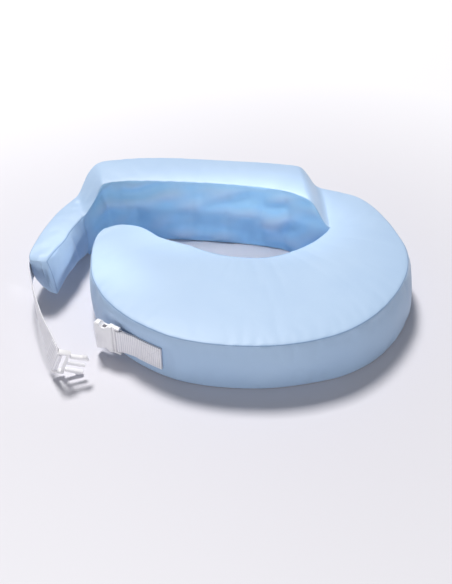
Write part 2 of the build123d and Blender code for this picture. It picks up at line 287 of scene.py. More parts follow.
    def _cap(self, k, share, rise, way, side):
        """The end wall at one station, as a grid that shares its rim with the rings."""
        grid = np.zeros((TOP_STEPS + 1, WALL_STEPS + 1), int)
        turn = LOBE_CAP_TURN if side < 0 else ARM_CAP_TURN
        extra_points, extra_run, extra_top, extra_low = [], [], [], []
        up, over = np.arange(WALL_STEPS + 1), np.arange(1, TOP_STEPS)
        grid[0], grid[TOP_STEPS] = self.at(k, up), self.at(k, 2 * WALL_STEPS + TOP_STEPS - up)
        grid[over, WALL_STEPS] = self.at(k, WALL_STEPS + over)
        grid[over, 0] = self.at(k, self.ring_size - over)
        left, right = self.points[grid[0, 0]], self.points[grid[TOP_STEPS, 0]]
        sideways = (right - left)[:2] / np.linalg.norm((right - left)[:2])
        first_run, last_run = self.run[grid[0, 0]], self.run[grid[TOP_STEPS, 0]]
        for j in range(1, TOP_STEPS):
            high, low = self.points[grid[j, WALL_STEPS]], self.points[grid[j, 0]]
            f = share[j]
            for i in range(1, WALL_STEPS):
                h = rise[i]
                place = low + (high - low) * h
                out = unit(way + sideways * (2 * f - 1) * turn)
                place[:2] += out * BULGE * arch(h, BULGE_POWER)
                grid[j, i] = len(self.points) + len(extra_points)
                extra_points.append(place)
                extra_run.append(first_run + f * (last_run - first_run))
                height = high[2] - low[2]
                extra_top.append((1 - h) * height)
                extra_low.append(h * height)
        for j in range(TOP_STEPS):
            for i in range(WALL_STEPS):
                face = (grid[j, i], grid[j + 1, i], grid[j + 1, i + 1], grid[j, i + 1])
                self.faces.append(face if side > 0 else face[::-1])
                part = SHELF if side < 0 else LEFT
                self.kinds.append(part * PANELS + (END if side > 0 else OUTER))
        self.points = np.vstack([self.points, extra_points])
        self.plain = np.vstack([self.plain, extra_points])
        self.run = np.concatenate([self.run, extra_run])
        self.top_seam = np.concatenate([self.top_seam, extra_top])
        self.low_seam = np.concatenate([self.low_seam, extra_low])
        return grid

    def seam_edges(self):
        """Every edge that lies on a seam."""
        edges = []
        for m in (0, WALL_STEPS, WALL_STEPS + TOP_STEPS, 2 * WALL_STEPS + TOP_STEPS):
            edges += [(self.at(k, m), self.at(k + 1, m)) for k in range(self.count - 1)]
        for cap in (self.start_cap, self.end_cap):
            for i in (0, WALL_STEPS):
                edges += [(cap[j, i], cap[j + 1, i]) for j in range(TOP_STEPS)]
        for j in (0, TOP_STEPS):
            edges += [(self.end_cap[j, i], self.end_cap[j, i + 1]) for i in range(WALL_STEPS)]
        return edges


def to_metres(points):
    placed = np.array(points, float)
    placed[:, :2] += TO_MIDDLE
    return placed * MM


def add_object(name, data):
    obj = bpy.data.objects.new(name, data)
    bpy.context.scene.collection.objects.link(obj)
    return obj


def smooth_object(name, mesh):
    mesh.polygons.foreach_set("use_smooth", np.ones(len(mesh.polygons), bool))
    return add_object(name, mesh)


def mesh_object(name, points, faces, kinds=None):
    mesh = bpy.data.meshes.new(name)
    mesh.from_pydata(np.asarray(points).tolist(), [], [tuple(int(i) for i in f) for f in faces])
    if kinds is not None:
        mesh.polygons.foreach_set("material_index", np.asarray(kinds, np.int32))
    return smooth_object(name, mesh)


def write_values(mesh, name, values):
    """One number, or one row of three, for each of the mesh's vertices."""
    rows = np.asarray(values, np.float32)
    kind, field = ("FLOAT_VECTOR", "vector") if rows.ndim == 2 else ("FLOAT", "value")
    mesh.attributes.new(name, kind, "POINT").data.foreach_set(field, rows.ravel())


def read_points(mesh):
    points = np.zeros(len(mesh.vertices) * 3, np.float32)
    mesh.vertices.foreach_get("co", points)
    return points.reshape(-1, 3).astype(float)


def evaluated(obj):
    """The object's mesh with its modifiers applied, as a new mesh."""
    graph = bpy.context.evaluated_depsgraph_get()
    final = obj.evaluated_get(graph)
    return bpy.data.meshes.new_from_object(final, preserve_all_data_layers=True, depsgraph=graph)


SIM_FRAMES = 20
SIM_CAP = 0.007
CLOTH_SETTINGS = {
    "quality": 6, "mass": 0.25, "tension_stiffness": 12, "compression_stiffness": 12,
    "shear_stiffness": 6, "bending_stiffness": 1.2, "shrink_min": -0.01, "shrink_max": -0.01,
    "use_pressure": True, "uniform_pressure_force": 3.0,
}


def inflate(obj, pinned):
    """Cloth under pressure, held at its seams and its underside. Returns the capped new places."""
    start = read_points(obj.data)
    group = obj.vertex_groups.new(name="held")
    group.add([int(i) for i in np.nonzero(pinned)[0]], 1.0, "REPLACE")
    cloth = obj.modifiers.new("cloth", "CLOTH")
    for key, value in CLOTH_SETTINGS.items():
        setattr(cloth.settings, key, value)
    cloth.settings.vertex_group_mass = "held"
    cloth.settings.effector_weights.gravity = 0.0
    cloth.collision_settings.use_collision = False
    cloth.point_cache.frame_start = 1
    cloth.point_cache.frame_end = SIM_FRAMES
    for number in range(1, SIM_FRAMES + 1):
        bpy.context.scene.frame_set(number)
    moved = read_points(evaluated(obj)) - start
    obj.modifiers.remove(cloth)
    bpy.context.scene.frame_set(1)
    length = np.linalg.norm(moved, axis=1, keepdims=True)
    soft_cap = SIM_CAP * np.tanh(length / SIM_CAP)
    return start + moved / np.maximum(length, 1e-9) * soft_cap


ZIP_START, ZIP_END, ZIP_HEIGHT = -105.0, 45.0, 20.0
SLOT_HALF_HEIGHT = 4.6
SLOT_HALF_LENGTH = 80.5
FRONT_Y, REAR_Y, LEFT_X = -100.0, 190.0, -270.0

# Patches of the outer wall that stay flat: from, to and fade along the wall, then up it
TAB_PATCH = (-136, -60, 24), (12, 56, 14)
ZIP_PATCH = (ZIP_START - 14, ZIP_END + 4, 14), (ZIP_HEIGHT - 5, ZIP_HEIGHT + 5, 16)
ANCHOR_PATCH = (-60, -3, 20), (28, 72, 10)


def band(values, low, high, fade):
    """1 between low and high, fading to 0 either side."""
    return smooth((values - low + fade) / fade) * smooth((high + fade - values) / fade)


def held_down(points):
    """How much the outer wall is held flat where webbing or the zip is sewn to it."""
    x, y, z = points.T
    front = band(x, *TAB_PATCH[0]) * (y < FRONT_Y) * band(z, *TAB_PATCH[1])
    zip_line = band(x, *ZIP_PATCH[0]) * (y > REAR_Y) * band(z, *ZIP_PATCH[1])
    anchor = band(y, *ANCHOR_PATCH[0]) * (x < LEFT_X) * band(z, *ANCHOR_PATCH[1])
    return np.maximum(np.maximum(front, zip_line), anchor)[:, None]


# The swelling fades out round the inner tip, and is less on top
TIP_CALM = 70.0
TOP_CALM = 0.72
SEAM_CREASE = 0.85

cover = Cover()
base = mesh_object("cover_base", to_metres(cover.points), cover.faces, cover.kinds)
seam_edges = cover.seam_edges()
held = np.zeros(len(cover.points), bool)
held[np.array(seam_edges).ravel()] = True
bottom_faces = [f for f, kind in zip(cover.faces, cover.kinds) if kind % PANELS == BOTTOM]
held[np.array(bottom_faces).ravel()] = True
swollen = to_metres(cover.points)
swollen = inflate(base, held)
start, plain = to_metres(cover.points), to_metres(cover.plain)
from_tip = np.linalg.norm(cover.points[:, :2] - TIP, axis=1)[:, None]
on_top = np.zeros((len(cover.points), 1))
on_top[np.array([f for f, kind in zip(cover.faces, cover.kinds) if kind % PANELS == TOP]).ravel()] = 1
swollen = start + (swollen - start) * smooth(from_tip / TIP_CALM) * (1 - TOP_CALM * on_top)
swollen += (plain - swollen) * held_down(cover.plain)
base.data.vertices.foreach_set("co", swollen.astype(np.float32).ravel())

base.data.materials.append(None)
for name, values in (("run", cover.run), ("top_seam", cover.top_seam), ("low_seam", cover.low_seam)):
    write_values(base.data, name, values * MM)
crease = base.data.attributes.new("crease_edge", "FLOAT", "EDGE")
marked = {tuple(sorted(map(int, e))) for e in seam_edges}
is_marked = [tuple(sorted(e.vertices)) in marked for e in base.data.edges]
crease.data.foreach_set("value", [SEAM_CREASE * on_seam for on_seam in is_marked])
finer = base.modifiers.new("finer", "SUBSURF")
finer.levels = 1
finer.render_levels = 1
fine_mesh = evaluated(base)
bpy.data.objects.remove(base)

# ---------- Folds, puckers and the split into panels ----------

count = len(fine_mesh.vertices)
points = read_points(fine_mesh)
normals = np.zeros(count * 3, np.float32)
fine_mesh.vertices.foreach_get("normal", normals)
normals = normals.reshape(-1, 3).astype(float)
kinds = np.zeros(len(fine_mesh.polygons), np.int32)
fine_mesh.polygons.foreach_get("material_index", kinds)
loops = np.zeros(len(fine_mesh.loops), np.int32)
fine_mesh.loops.foreach_get("vertex_index", loops)
quads = loops.reshape(-1, 4)


def read_float(mesh, name):
    values = np.zeros(len(mesh.vertices), np.float32)
    mesh.attributes[name].data.foreach_get("value", values)
    return values.astype(float)


run, top_seam, low_seam = (read_float(fine_mesh, n) for n in ("run", "top_seam", "low_seam"))


def noise_at(*columns):
    """Smooth noise from -1 to 1, at places given as one array or as three columns."""
    places = columns[0] if len(columns) == 1 else np.column_stack(columns)
    return np.array([noise.noise(Vector(p)) for p in places])


def on_panels(*panels):
    """Which vertices are on any of these panels."""
    chosen = np.zeros(count, bool)
    chosen[quads[np.isin(kinds % PANELS, panels)].ravel()] = True
    return chosen


# Heights of the folds and reaches of their patterns, in metres
GROOVE, GROOVE_WIDTH = 0.0006, 0.0015
PUCKER, PUCKER_LENGTH, PUCKER_REACH = 0.0006, 0.012, 0.013
SEAM_CALM = 0.012
BROAD, BROAD_SIZE = 0.0022, (0.055, 0.12)
FINE, FINE_SIZE = 0.0005, 0.028
WAVE, WAVE_SIZE = 0.0005, 0.09
INNER_FOLD, INNER_FOLD_SIZE, INNER_FOLD_X = 0.0080, (0.06, 0.024), 168.0
WRINKLE, WRINKLE_SIZE = 0.0020, (0.016, 0.016, 0.03)
LEFT_NOTCH, NOTCH_SIZE = (-250, 108), (26, 30)
ARM_X = -240.0


def gap_to_line(places, line):
    """The distance from each place to the nearest point of a line given by its corners."""
    at = np.linspace(0, len(line) - 1, 25 * len(line))
    dense = np.stack([np.interp(at, range(len(line)), line[:, i]) for i in range(3)], 1)
    return np.linalg.norm(places[:, None, :] - dense[None], axis=2).min(axis=1)


is_wall = on_panels(OUTER, INNER, END)
is_bottom = on_panels(BOTTOM) & ~is_wall
x, y, z = ((points[:, 0] / MM - TO_MIDDLE[0]), (points[:, 1] / MM - TO_MIDDLE[1]), points[:, 2] / MM)
near_end = is_wall & (x < ARM_X) & (y < -20)
for column in (0, TOP_STEPS):
    gap = gap_to_line(points[near_end], swollen[cover.end_cap[column]])
    top_seam[near_end] = np.minimum(top_seam[near_end], gap)
near_seam = np.minimum(top_seam, low_seam)
away = smooth(near_seam / SEAM_CALM)
flat = held_down(np.column_stack([x, y, z]))[:, 0]
loose = (1 - flat) * away
zero = np.zeros(count)
pucker = noise_at(run / PUCKER_LENGTH, near_seam / 0.03, zero)
broad = noise_at(run / BROAD_SIZE[0], points[:, 2] / BROAD_SIZE[1], is_wall * 1.0)
fine = noise_at(points / FINE_SIZE + 7.3)
shift = -GROOVE * np.exp(-(near_seam / GROOVE_WIDTH) ** 2)
shift += PUCKER * pucker * np.exp(-near_seam / PUCKER_REACH) * smooth(near_seam / 0.002) * (1 - flat)
shift += np.where(is_wall, BROAD * broad + FINE * fine, WAVE * noise_at(points / WAVE_SIZE)) * loose
along_fold, across_fold = run + 0.8 * points[:, 2], points[:, 2] - 0.35 * run
diagonal = noise_at(along_fold / INNER_FOLD_SIZE[0], across_fold / INNER_FOLD_SIZE[1], zero)
back_inner = on_panels(INNER) * smooth((y - 45) / 50) * (x < INNER_FOLD_X)
shift += INNER_FOLD * diagonal * back_inner * away
# Painted bounce light and shade: the backrest's inner wall is tinted a more saturated blue, most in the
# fold troughs.
painted_inner_bounce_tone = back_inner * np.clip(0.8 - 1.1 * diagonal * away, 0, 1.2)
arm_end = smooth((10 - y) / 50) * smooth((-235 - x) / 12) * (y > -70)
notch_x, notch_y = (x - LEFT_NOTCH[0]) / NOTCH_SIZE[0], (y - LEFT_NOTCH[1]) / NOTCH_SIZE[1]
left_notch = np.exp(-(notch_x ** 2 + notch_y ** 2))
wrinkle = noise_at(points / WRINKLE_SIZE)
shift += WRINKLE * wrinkle * (arm_end + 0.9 * left_notch) * (1 - flat) * smooth(near_seam / 0.004)
shift[is_bottom] = 0.0
points += normals * shift[:, None]
centres = points[quads].mean(axis=1) / MM - np.array([*TO_MIDDLE, 0])
in_slot = (centres[:, 1] > REAR_Y) & (abs(centres[:, 2] - ZIP_HEIGHT) < SLOT_HALF_HEIGHT)
in_slot &= abs(centres[:, 0] - (ZIP_START + ZIP_END) / 2) < SLOT_HALF_LENGTH
points[:, 2] = np.maximum(points[:, 2], 0.0)

FABRIC_THICKNESS = 0.0012
WALL_LAYER = 5.0


def face_normals(places, faces):
    a, b, c, d = (places[faces[:, i]] for i in range(4))
    return np.cross(c - a, d - b)


def vertex_normals(places, faces, size):
    total = np.zeros((size, 3))
    facing = face_normals(places, faces)
    for i in range(4):
        np.add.at(total, faces[:, i], facing)
    return unit(total)


def panel_piece(name, chosen):
    """One panel of the cover as a thin closed sheet, shaded as if it were still whole."""
    faces = quads[chosen]
    group = kinds[chosen][0] % PANELS
    alike = np.isin(kinds % PANELS, [OUTER, INNER, END] if group in (OUTER, INNER, END) else [group])
    shading = vertex_normals(points, quads[alike], count)
    used, local = np.unique(faces, return_inverse=True)
    faces = local.reshape(-1, 4)
    places = points[used]
    facing = shading[used]
    inner_places = places - facing * FABRIC_THICKNESS
    inner_places[:, 2] = np.maximum(inner_places[:, 2], 0.0)
    size = len(used)
    edges = np.sort(faces[:, [0, 1, 1, 2, 2, 3, 3, 0]].reshape(-1, 2), axis=1)
    _, index, times = np.unique(edges, axis=0, return_index=True, return_counts=True)
    rim = []
    directed = faces[:, [0, 1, 1, 2, 2, 3, 3, 0]].reshape(-1, 2)
    for k in index[times == 1]:
        a, b = directed[k]
        rim.append((b, a, a + size, b + size))
    all_faces = np.vstack([faces, faces[:, ::-1] + size, np.array(rim)])
    obj = mesh_object(name, np.vstack([places, inner_places]), all_faces)
    mesh = obj.data
    tones = {"run": run, "top_seam": top_seam, "low_seam": low_seam, "painted_inner_wall_bounce": painted_inner_bounce_tone * is_wall}
    for label, values in tones.items():
        write_values(mesh, label, np.tile(values[used], 2))
    corner = np.vstack([facing, -facing])[all_faces.ravel()].reshape(-1, 4, 3)
    rim_faces = all_faces[2 * len(faces):]
    rim_facing = unit(face_normals(np.vstack([places, inner_places]), rim_faces))
    corner[2 * len(faces):] = rim_facing[:, None, :]
    mesh.normals_split_custom_set(corner.reshape(-1, 3))
    if group in (TOP, BOTTOM):
        coordinates = np.column_stack([places[:, :2], np.full(size, group * 1.0)])
    else:
        coordinates = np.column_stack([run[used], places[:, 2], np.full(size, WALL_LAYER)])
    write_values(mesh, "cloth", np.tile(coordinates, (2, 1)))
    return obj


# The panels of each length of the cover. A top or bottom is a CAD panel, and a wall is a CAD band.
PIECES = {
    "shelf": {"top": [TOP], "side": [OUTER, INNER], "bottom": [BOTTOM]},
    "backrest": {"top": [TOP], "rear": [OUTER], "inner": [INNER], "bottom": [BOTTOM]},
    "arm": {"top": [TOP], "outer": [OUTER], "inner": [INNER], "bottom": [BOTTOM], "end": [END]},
}


def plan_point(x, y, z=0.0):
    return Vector(((x + TO_MIDDLE[0]) * MM, (y + TO_MIDDLE[1]) * MM, z * MM))


def attach(piece, part):
    """The shelf's length goes on the shelf's body, and the other two stay where they are, unbent."""
    if part == SHELF:
        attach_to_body(piece, "shelf")
    elif part == RIGHT:
        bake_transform(piece)
    else:
        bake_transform(piece)


# ---------- Materials ----------


def srgb(r, g, b):
    """A displayed colour, 0 to 255, as the linear colour that shaders use."""
    def linear(v):
        v /= 255.0
        return v / 12.92 if v <= 0.04045 else ((v + 0.055) / 1.055) ** 2.4
    return (linear(r), linear(g), linear(b), 1.0)


class Nodes:
    """A short way to add and join shader nodes."""

    def __init__(self, name):
        self.material = bpy.data.materials.new(name)
        self.material.use_nodes = True
        self.tree = self.material.node_tree
        self.shader = self.tree.nodes["Principled BSDF"]

    def feed(self, socket, value):
        """Link a socket to another node's output, or set its own number or colour."""
        if isinstance(value, bpy.types.NodeSocket):
            self.tree.links.new(value, socket)
        else:
            socket.default_value = value

    def add(self, kind, inputs=None, **settings):
        node = self.tree.nodes.new(kind)
        for key, value in settings.items():
            setattr(node, key, value)
        for key, value in (inputs or {}).items():
            self.feed(node.inputs[key], value)
        return node

    def math(self, operation, a, b=0.0, c=0.0):
        return self.add("ShaderNodeMath", {0: a, 1: b, 2: c}, operation=operation).outputs[0]

    def attribute(self, name, output="Fac"):
        return self.add("ShaderNodeAttribute", attribute_name=name).outputs[output]

    def noise(self, vector, scale, detail=2.0, rough=0.5):
        values = {"Vector": vector, "Scale": scale, "Detail": detail, "Roughness": rough}
        return self.add("ShaderNodeTexNoise", values).outputs["Fac"]

    def wave(self, vector, scale, distortion, direction):
        values = {"Vector": vector, "Scale": scale, "Distortion": distortion}
        return self.add("ShaderNodeTexWave", values, bands_direction=direction).outputs["Fac"]

    def ramp(self, value, low, high, to_low=0.0, to_high=1.0):
        values = {"Value": value, "From Min": low, "From Max": high}
        values.update({"To Min": to_low, "To Max": to_high})
        return self.add("ShaderNodeMapRange", values, clamp=True).outputs[0]

    def mix(self, share, a, b):
        node = self.add("ShaderNodeMix", data_type="RGBA")
        for socket, value in ((0, share), (6, a), (7, b)):
            self.feed(node.inputs[socket], value)
        return node.outputs[2]

    def bump(self, height, distance, strength=1.0, normal=None):
        values = {"Height": height, "Distance": distance, "Strength": strength}
        if normal is not None:
            values["Normal"] = normal
        return self.add("ShaderNodeBump", values).outputs["Normal"]

    def set(self, **values):
        for key, value in values.items():
            self.feed(self.shader.inputs[key.replace("_", " ")], value)
        return self.material


def cover_fabric():
    n = Nodes("cover_fabric")
    cloth = n.attribute("cloth", "Vector")
    seam = n.math("MINIMUM", n.attribute("top_seam"), n.attribute("low_seam"))
    tone = n.noise(cloth, 9.0, 3.0)
    colour = n.mix(n.ramp(tone, 0.3, 0.7), srgb(172, 199, 230), srgb(178, 204, 233))
    # Painted shade: the fabric is darkened in a thin line along every seam, where the seam's groove lies in
    # shade.
    seam_groove_shade = n.ramp(seam, 0.0004, 0.0014, 1.0, 0.0)
    colour = n.mix(n.math("MULTIPLY", seam_groove_shade, 0.6), colour, srgb(96, 132, 180))
    # Painted bounce light: the shaded inner wall of the backrest is tinted a more saturated blue.
    colour = n.mix(n.attribute("painted_inner_wall_bounce"), colour, srgb(156, 206, 245))
    # A lighter line along the bottom seam.
    low_seam_light_line = n.ramp(n.attribute("low_seam"), 0.0006, 0.0016, 0.7, 0.0)
    colour = n.mix(low_seam_light_line, colour, srgb(226, 232, 242))
    soft = n.noise(cloth, 24.0, 3.0, 0.55)
    normal = n.bump(soft, 0.0012, 0.35)
    normal = n.bump(n.wave(cloth, 420.0, 0.6, "DIAGONAL"), 0.00006, 0.5, normal)
    rough = n.ramp(tone, 0.2, 0.8, 0.46, 0.54)
    return n.set(
        Base_Color=colour, Roughness=rough, Normal=normal, Sheen_Weight=0.25, Sheen_Roughness=0.35,
        Specular_IOR_Level=0.5,
    )


RIB = 3.3


def webbing_fabric():
    n = Nodes("webbing")
    cloth = n.attribute("cloth", "Vector")
    tone = n.noise(cloth, 160.0, 2.0)
    colour = n.mix(tone, srgb(240, 239, 246), srgb(250, 249, 253))
    along = n.add("ShaderNodeSeparateXYZ", {0: cloth}).outputs["Y"]
    rib = n.math("ABSOLUTE", n.math("SINE", n.math("MULTIPLY", along, math.pi / (RIB * MM))))
    # Painted shade: the webbing is darkened in the valleys between its ribs.
    colour = n.mix(n.ramp(rib, 0.1, 0.65, 0.5, 0.0), colour, srgb(176, 176, 192))
    normal = n.bump(n.wave(cloth, 300.0, 0.8, "Y"), 0.0002, 0.6)
    return n.set(Base_Color=colour, Roughness=0.6, Normal=normal, Sheen_Weight=0.1)


def simple(name, colour, rough, metallic=0.0, scale=300.0, depth=0.00004, coat=0.0):
    n = Nodes(name)
    where = n.add("ShaderNodeTexCoord").outputs["Object"]
    grain = n.noise(where, scale, 3.0)
    normal = n.bump(grain, depth, 0.5)
    spread_rough = n.ramp(grain, 0.2, 0.8, rough - 0.05, rough + 0.05)
    return n.set(
        Base_Color=colour, Roughness=spread_rough, Normal=normal, Metallic=metallic, Coat_Weight=coat,
    )


FABRIC = cover_fabric()
WEBBING = webbing_fabric()
PLASTIC = simple("buckle_plastic", srgb(244, 243, 246), 0.32, coat=0.15)
TAPE = simple("zip_tape", srgb(160, 190, 228), 0.75, scale=900.0, depth=0.0002)
COIL = simple("zip_coil", srgb(206, 222, 242), 0.35)
METAL = simple("zip_metal", srgb(190, 192, 196), 0.3, metallic=1.0)
THREAD = simple("thread", srgb(236, 236, 242), 0.55, scale=2000.0, depth=0.00005)
FOAM = simple("foam", srgb(246, 240, 214), 0.9, scale=700.0, depth=0.0006)

for part, (length_name, pieces) in enumerate(PIECES.items()):
    for label, panels in pieces.items():
        wanted = np.isin(kinds, [part * PANELS + panel for panel in panels]) & ~in_slot
        piece = panel_piece(f"cover_{length_name}_{label}", wanted)
        piece.data.materials.append(FABRIC)
        shape = "panel" if label in ("top", "bottom") else "band"
        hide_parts(f"{length_name}_{label}_{shape}")
        attach(piece, part)

# ---------- Foam under the cover ----------

FOAM_DEPTH = 0.004
FOAM_FLOOR = 0.003
# At the inner tip the foam is moved in and lowered, and at the arm's end it is drawn to a core
TIP_REACH, TIP_SHIFT, TIP_SINK, UPPER_HALF = 0.014, (0.006, 0.003), 0.009, 0.05
ARM_END_CORE, ARM_END_DRAW = (-275.0, -35.0, 52.0), 0.3
ARM_END_Y, ARM_END_FADE = -0.018, 0.02


def foam_piece(name, part):
    """The foam under one length of the cover, closed at its cut ends."""
    chosen = quads[(kinds // PANELS) == part]
    used, local = np.unique(chosen, return_inverse=True)
    form = bmesh.new()
    inward = points[used] - vertex_normals(points, quads, count)[used] * FOAM_DEPTH
    tip_gap = np.linalg.norm(inward[:, :2] - np.array(plan_point(*TIP)[:2]), axis=1)
    near_tip = np.exp(-(tip_gap / TIP_REACH) ** 2)
    inward[:, :2] += near_tip[:, None] * TIP_SHIFT
    inward[:, 2] -= TIP_SINK * near_tip * (inward[:, 2] > UPPER_HALF)
    inward[:, 2] = np.maximum(inward[:, 2], FOAM_FLOOR)
    if part == LEFT:
        at_end = smooth((ARM_END_Y - inward[:, 1]) / ARM_END_FADE)[:, None] * (inward[:, :1] < ARM_X * MM)
        inward += (np.array(plan_point(*ARM_END_CORE)) - inward) * (ARM_END_DRAW * at_end)
    corners = [form.verts.new(p) for p in inward]
    for face in local.reshape(-1, 4):
        form.faces.new([corners[i] for i in face])
    bmesh.ops.holes_fill(form, edges=[e for e in form.edges if e.is_boundary])
    bmesh.ops.triangulate(form, faces=[f for f in form.faces if len(f.verts) > 4])
    mesh = bpy.data.meshes.new(name)
    form.to_mesh(mesh)
    form.free()
    obj = smooth_object(name, mesh)
    obj.data.materials.append(FOAM)
    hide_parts(name)
    return obj


for part, length_name in enumerate(PIECES):
    attach(foam_piece(f"{length_name}_foam", part), part)

# ---------- Webbing ----------

WEBBING_WIDTH = 38.0
WEBBING_THICKNESS = 1.6
RIB_HEIGHT = 0.45
LOOP_RADIUS = 3.15
WALL_GAP = 1.3
LAYER = 1.7
ALONG = 0.58
# Places across a band from edge to edge, how ribbed it is there, and how its edges round off
ACROSS = np.array([-1, -0.985, -0.93, -0.88, -0.6, -0.3, 0, 0.3, 0.6, 0.88, 0.93, 0.985, 1])
RIBBED = np.array([0, 0, 0.15, 1, 1, 1, 1, 1, 1, 1, 0.15, 0, 0])
EDGE_ROUND = np.array([0.35, 0.85, 1, 1, 1, 1, 1, 1, 1, 1, 1, 0.85, 0.35])


def path_points(places, ups):
    """Evenly spaced places along a smooth line, with the width direction at each."""
    places, ups = np.array(places, float), np.array(ups, float)
    dense = np.linspace(0, len(places) - 1, 40 * len(places))
    line, across = catmull(places, dense), catmull(ups, dense)
    length = np.concatenate([[0], np.cumsum(np.linalg.norm(np.diff(line, axis=0), axis=1))])
    at = np.linspace(0, length[-1], max(2, int(length[-1] / ALONG)))
    even = np.stack([np.interp(at, length, line[:, i]) for i in range(3)], 1)
    width = unit(np.stack([np.interp(at, length, across[:, i]) for i in range(3)], 1))
    return even, width, at


def webbing_piece(name, body, replaced, places, ups):
    """A ribbed woven band with plain edges, swept along a line of places in plan millimetres."""
    line, width, at = path_points(places, ups)
    forward = unit(np.gradient(line, axis=0))
    width = unit(width - forward * (width * forward).sum(1, keepdims=True))
    facing = np.cross(forward, width)
    half = WEBBING_WIDTH / 2
    rib = (np.abs(np.sin(np.pi * at / RIB)) ** 0.6 - 0.5) * RIB_HEIGHT
    ring, crosswise = [], []
    for side in (1, -1):
        for i in range(len(ACROSS))[::side]:
            depth = WEBBING_THICKNESS / 2 * EDGE_ROUND[i] + rib * RIBBED[i]
            ring.append(line + width * (ACROSS[i] * half) + facing * (side * depth)[:, None])
            crosswise.append(np.full(len(at), ACROSS[i] * half))
    size = len(ring)
    verts = np.stack(ring, 1).reshape(-1, 3)
    k = np.arange(len(at) - 1)[:, None] * size
    m = np.arange(size)[None, :]
    n = (m + 1) % size
    sides = np.stack([k + m, k + size + m, k + size + n, k + n], -1).reshape(-1, 4)
    last = (len(at) - 1) * size
    ends = []
    for a in range(len(ACROSS) - 1):
        b, c, d = a + 1, size - 2 - a, size - 1 - a
        ends.append((a, b, c, d))
        ends.append((last + d, last + c, last + b, last + a))
    obj = mesh_object(name, to_metres(verts), np.vstack([sides, ends]))
    coordinates = [np.stack(crosswise, 1).ravel(), np.repeat(at, size), np.zeros(len(verts))]
    write_values(obj.data, "cloth", np.column_stack(coordinates) * MM)
    obj.data.materials.append(WEBBING)
    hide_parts(replaced)
    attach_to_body(obj, body)
    return line, width, facing, at


STITCH, THREAD_SIDES = 2.6, 6
THREAD_WIDE, THREAD_HIGH, THREAD_ARCH = 0.3, 0.22, 0.34
STITCH_FROM, STITCH_TO = 0.12, 0.88


def stitches(name, body, rows, frame_of):
    """Short thread stitches along rows given as (along, across) ends on a band's face."""
    verts, faces = [], []
    for (a0, c0), (a1, c1) in rows:
        length = math.hypot(a1 - a0, c1 - c0)
        number = max(1, round(length / STITCH))
        way = unit(np.array([a1 - a0, c1 - c0], float))
        for i in range(number):
            t0, t1 = (i + STITCH_FROM) / number, (i + STITCH_TO) / number
            ends = [(a0 + (a1 - a0) * t, c0 + (c1 - c0) * t) for t in (t0, (t0 + t1) / 2, t1)]
            first = len(verts)
            for (along, across), lift in zip(ends, (0.0, THREAD_ARCH, 0.0)):
                for turn in range(THREAD_SIDES):
                    angle = 2 * math.pi * turn / THREAD_SIDES
                    side = THREAD_WIDE * math.cos(angle)
                    up = THREAD_HIGH * math.sin(angle) + lift
                    verts.append(frame_of(along - way[1] * side, across + way[0] * side, up))
            for ring in (first, first + THREAD_SIDES):
                for turn in range(THREAD_SIDES):
                    a, b = ring + turn, ring + (turn + 1) % THREAD_SIDES
                    faces.append((a, b, b + THREAD_SIDES, a + THREAD_SIDES))
            last = first + 2 * THREAD_SIDES
            faces.append(tuple(range(first, first + THREAD_SIDES))[::-1])
            faces.append(tuple(range(last, last + THREAD_SIDES)))
    obj = mesh_object(name, to_metres(verts), faces)
    obj.data.materials.append(THREAD)
    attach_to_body(obj, body)


def on_band(band_shape, side):
    """A frame on a band's face, for its stitches."""
    line, width, facing, at = band_shape
    depth = WEBBING_THICKNESS / 2 + RIB_HEIGHT / 2 - 0.1

    def place(along, across, up):
        middle, wide, out = (
            np.array([np.interp(along, at, rows[:, i]) for i in range(3)]) for rows in (line, width, facing)
        )
        return middle + wide * across + out * (side * (depth + up))

    return place


STITCH_INSET, STITCH_HALF = 3.5, 15.5


def box_stitch(start, end, half):
    """The rows of a stitched box with a cross in it."""
    corners = [(start, -half), (end, -half), (end, half), (start, half)]
    rows = [(corners[i], corners[(i + 1) % 4]) for i in range(4)]
    return rows + [(corners[0], corners[2]), (corners[1], corners[3])]


UP = (0.0, 0.0, 1.0)
BAR = np.array([-205.4, -220.0, 32.5])
BAR_WAY = unit(np.array([0.375, -0.14, 0.916]))
ARRIVAL = unit(np.array([0.545, -0.765, -0.341]))
strap_places = [
    (-292.6, -48.4, 50), (-288, -63, 51), (-280.5, -80.5, 50.6), (-272, -100, 50), (-260.8, -125, 48.4),
    (-248.5, -150, 46), (-237.6, -170, 43.2), (-226, -188, 40),
]
strap_ups = [UP] * 4
strap_ups += [(0.07, -0.02, 0.995), (0.13, -0.05, 0.99), (0.2, -0.075, 0.97), (0.28, -0.10, 0.95)]
SIDE = unit(np.cross(BAR_WAY, ARRIVAL))


def loop_round(bar, ahead, side):
    """Half a turn of webbing round a bar."""
    turns = [math.radians(angle) for angle in (90, 60, 30, 0, -30, -60, -90)]
    return [bar + (ahead * math.cos(t) + side * math.sin(t)) * LOOP_RADIUS for t in turns]


strap_places += [BAR + ARRIVAL * along + SIDE * out for along, out in ((-16, 0.5), (-9, 1.2), (-4, 2.4))]
strap_places += loop_round(BAR, ARRIVAL, SIDE)
TURNED_BACK = ((-4, -2.4), (-9, -0.9), (-16, -1.2), (-24, -1.2))
strap_places += [BAR + ARRIVAL * along + SIDE * out for along, out in TURNED_BACK]
strap_ups += [BAR_WAY] * (len(strap_places) - len(strap_ups))
webbing_piece("long_strap_webbing", "strap", "long_strap", strap_places, strap_ups)


def at_rows(rows, values):
    """Plan values of the cover's outer edge, read at these section rows."""
    return np.stack([np.interp(rows, cover.rows, values[:, i]) for i in range(2)], 1)


